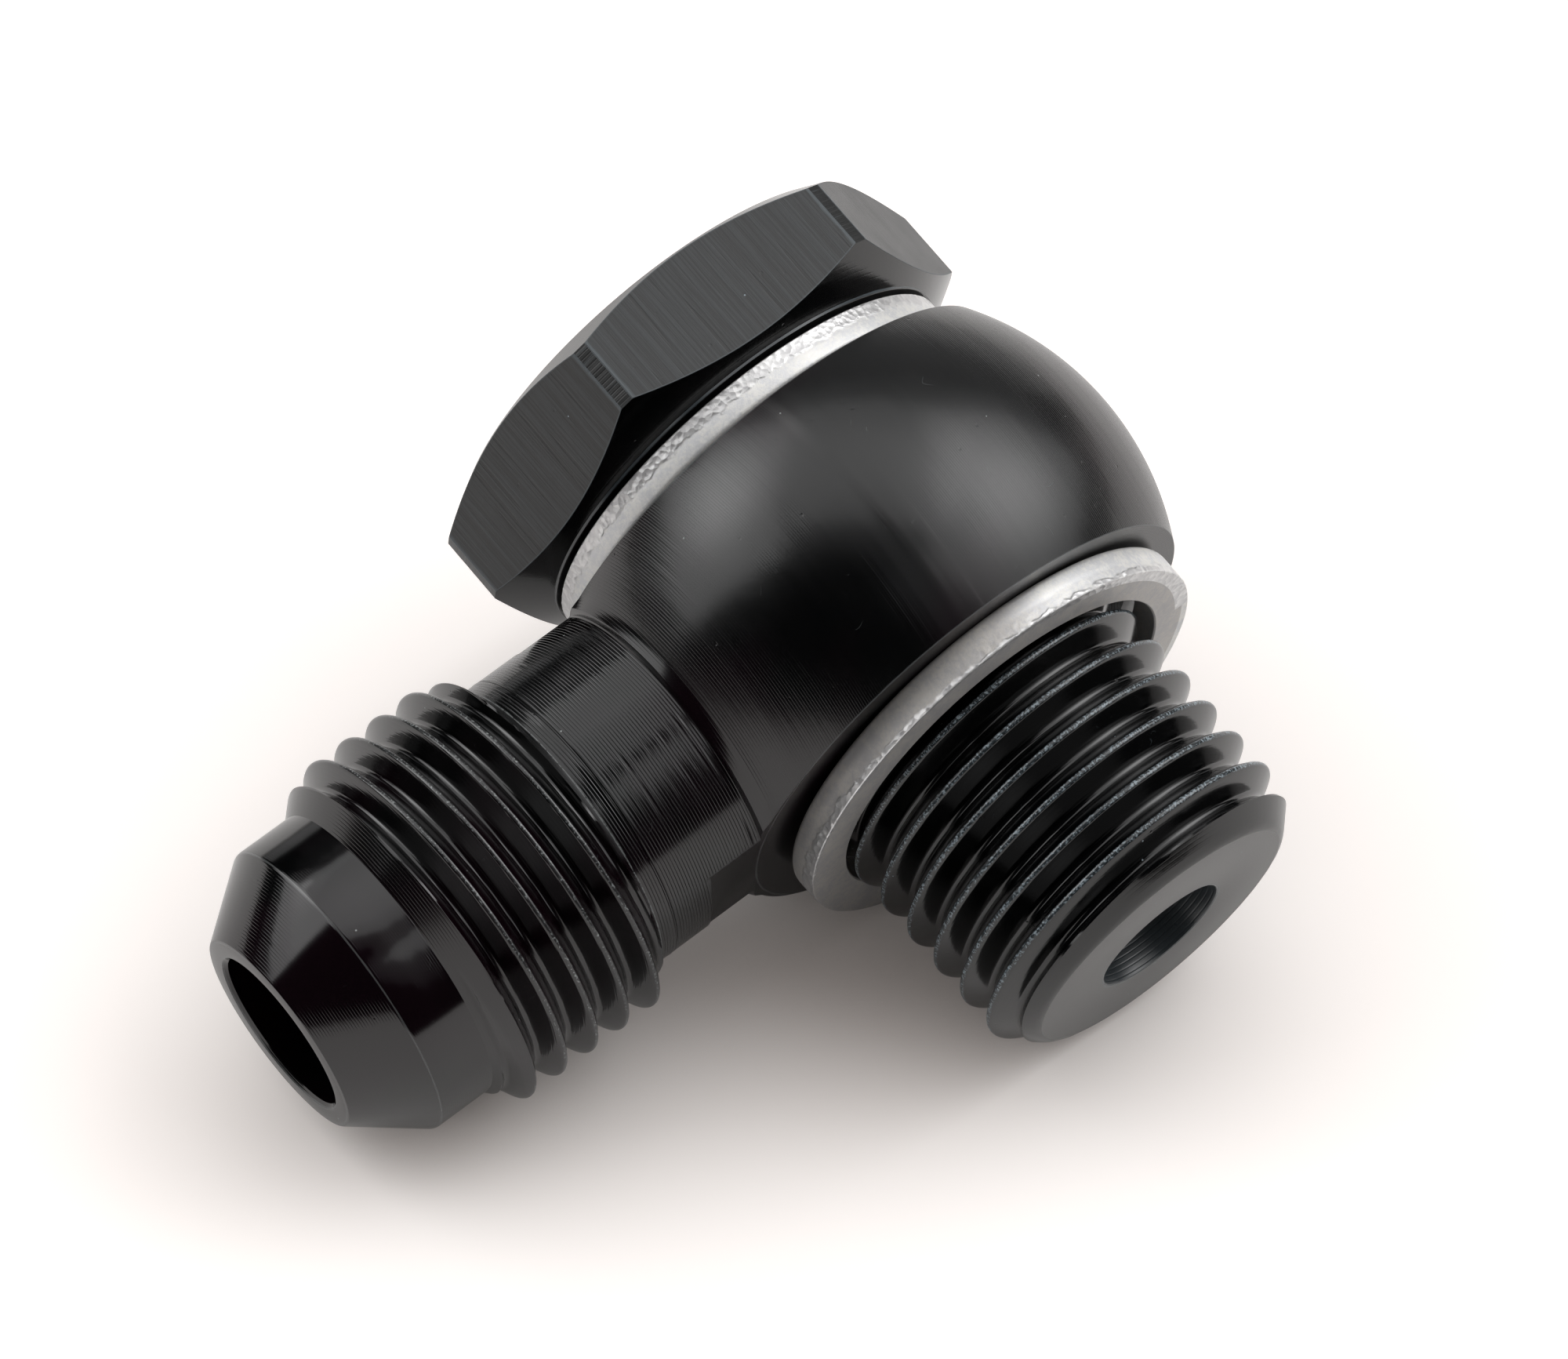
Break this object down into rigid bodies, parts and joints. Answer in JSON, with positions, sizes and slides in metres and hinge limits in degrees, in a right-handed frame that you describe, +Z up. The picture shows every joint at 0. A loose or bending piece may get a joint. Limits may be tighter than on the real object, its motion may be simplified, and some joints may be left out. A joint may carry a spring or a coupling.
{
  "type": "banjo fitting",
  "caption": "Black anodised banjo fitting: flare adapter on a ball-shaped eye, hex-headed banjo bolt through it, crush washers on both faces.",
  "frame": {"origin": "centre of the bounding box's base, on the ground that the fitting lies on", "axes": "+Z up; the stem lies in the YZ plane and points to -Y, a little down; the bolt's tip points to +X, a little down"},
  "size_m": [0.032, 0.0388, 0.0244],
  "materials": {
    "eye_black_anodised": "black anodised over fine turning marks, satin",
    "bolt_black_anodised": "black anodised, drawn grain on the hexagon, satin turned ends",
    "washer_bare_aluminium": "bare satin aluminium with a sheared and torn rim"
  },
  "bodies": {
    "eye": {"banjo_eye": "eye_black_anodised"},
    "bolt": {"banjo_bolt": "bolt_black_anodised", "head_washer": "washer_bare_aluminium", "seat_washer": "washer_bare_aluminium"}
  },
  "joints": [
    {"name": "bolt_turn", "type": "hinge", "parent": "eye", "child": "bolt", "pos_m": [-0.00154, 0.00815, 0.01125], "axis": [0.9507, 0.062, -0.3038], "continuous": true}
  ]
}
